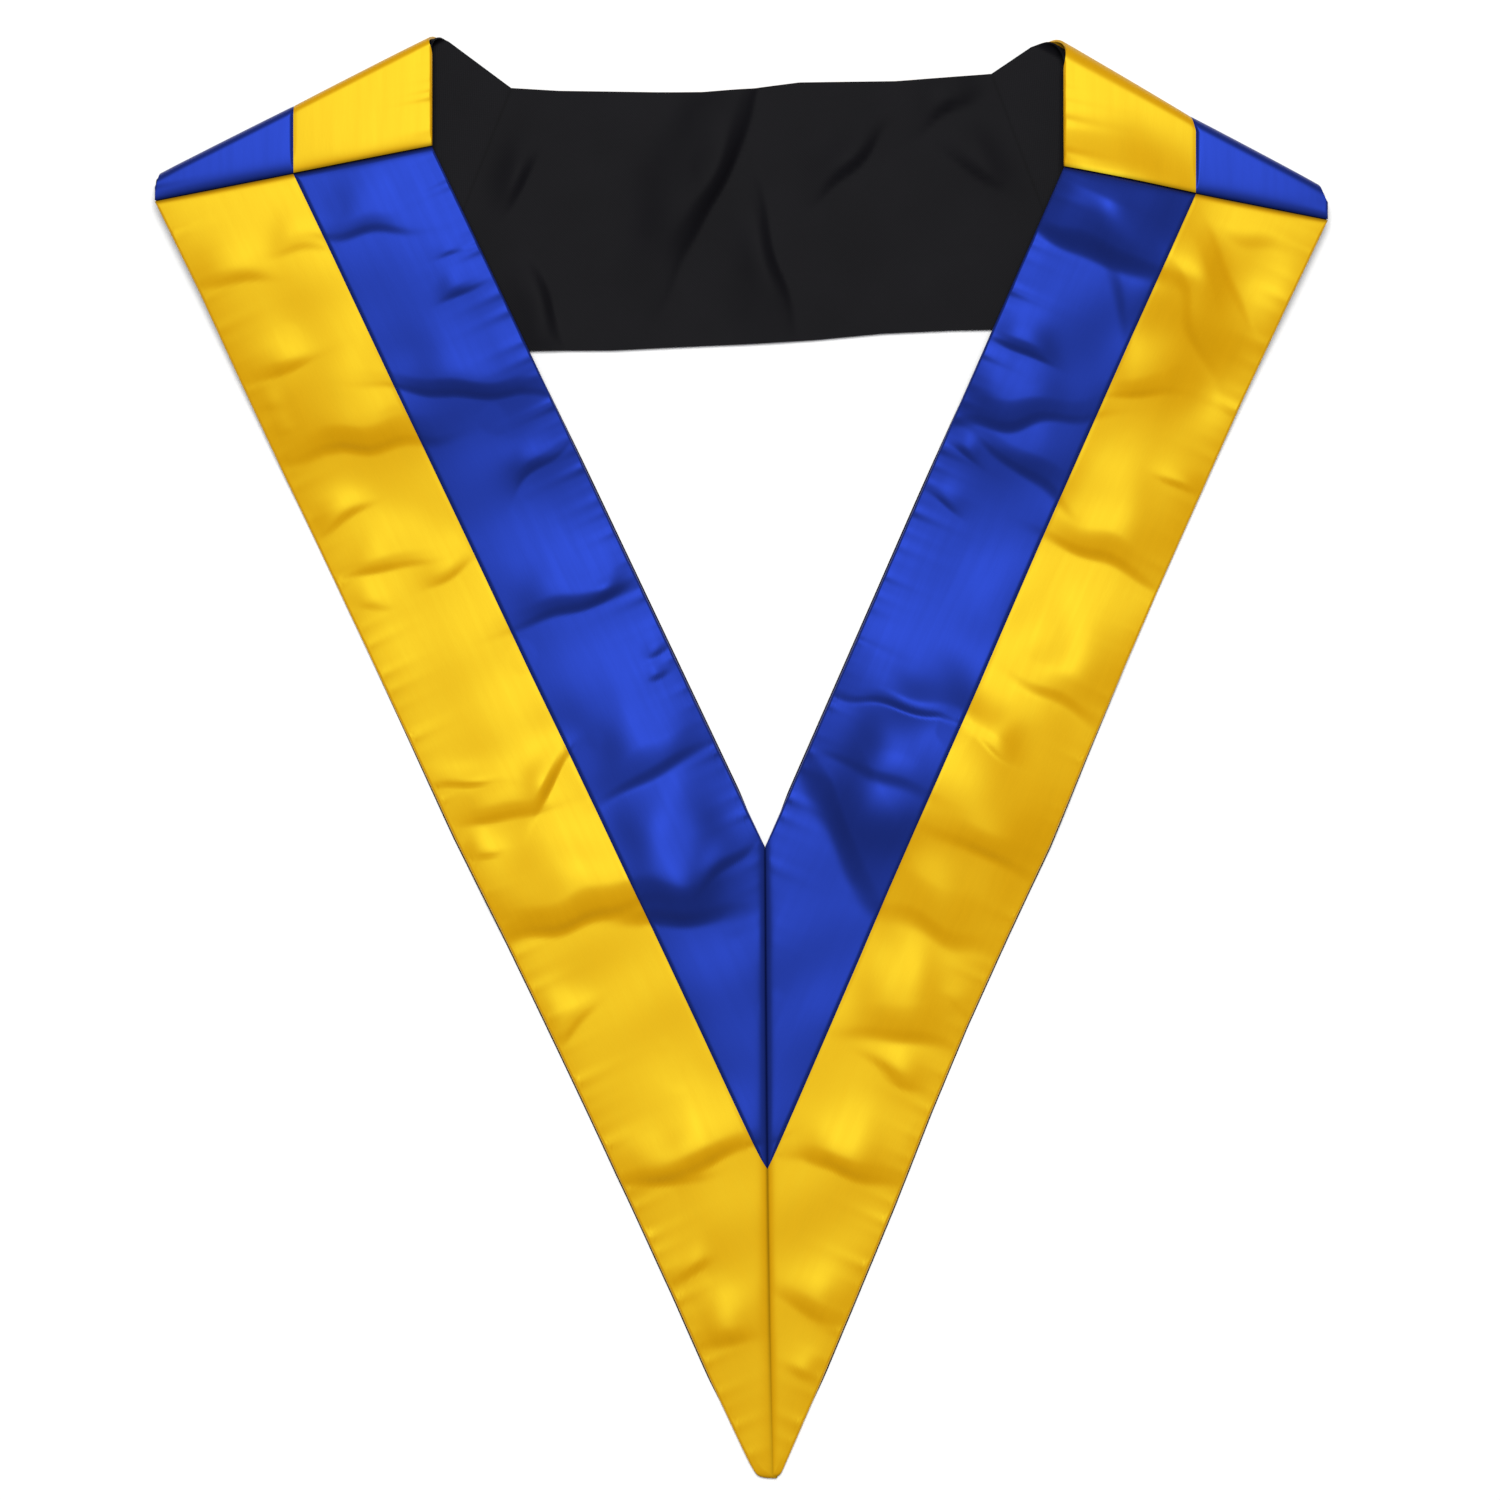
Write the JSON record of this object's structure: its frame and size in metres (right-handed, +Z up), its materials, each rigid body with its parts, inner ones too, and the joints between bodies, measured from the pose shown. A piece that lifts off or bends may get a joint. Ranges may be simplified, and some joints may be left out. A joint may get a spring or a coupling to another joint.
{
  "type": "masonic collar",
  "caption": "V-shaped striped satin regalia collar lying flat, with shoulders folded over to the back, a black-lined back panel and a pointed front.",
  "frame": {"origin": "middle of the outline, on the plane that the collar lies on", "axes": "+Y towards the shoulder crests and away from the point, +Z up out of the face, +X to the right"},
  "size_m": [0.4402, 0.5452, 0.015],
  "materials": {
    "yellow_satin": "golden yellow satin, soft sheen",
    "blue_satin": "royal blue satin, soft sheen",
    "black_lining": "matte black lining"
  },
  "bodies": {
    "root": {"left_leg_inner_stripe": "blue_satin", "left_leg_outer_stripe": "yellow_satin", "left_leg_lining": "black_lining", "left_shoulder_inner_stripe": "yellow_satin", "left_shoulder_outer_stripe": "blue_satin", "left_shoulder_lining": "black_lining", "right_leg_inner_stripe": "blue_satin", "right_leg_outer_stripe": "yellow_satin", "right_leg_lining": "black_lining", "right_shoulder_inner_stripe": "yellow_satin", "right_shoulder_outer_stripe": "blue_satin", "right_shoulder_lining": "black_lining", "back_neck_stripe": "yellow_satin", "back_lower_stripe": "blue_satin", "back_lining": "black_lining"}
  },
  "joints": []
}
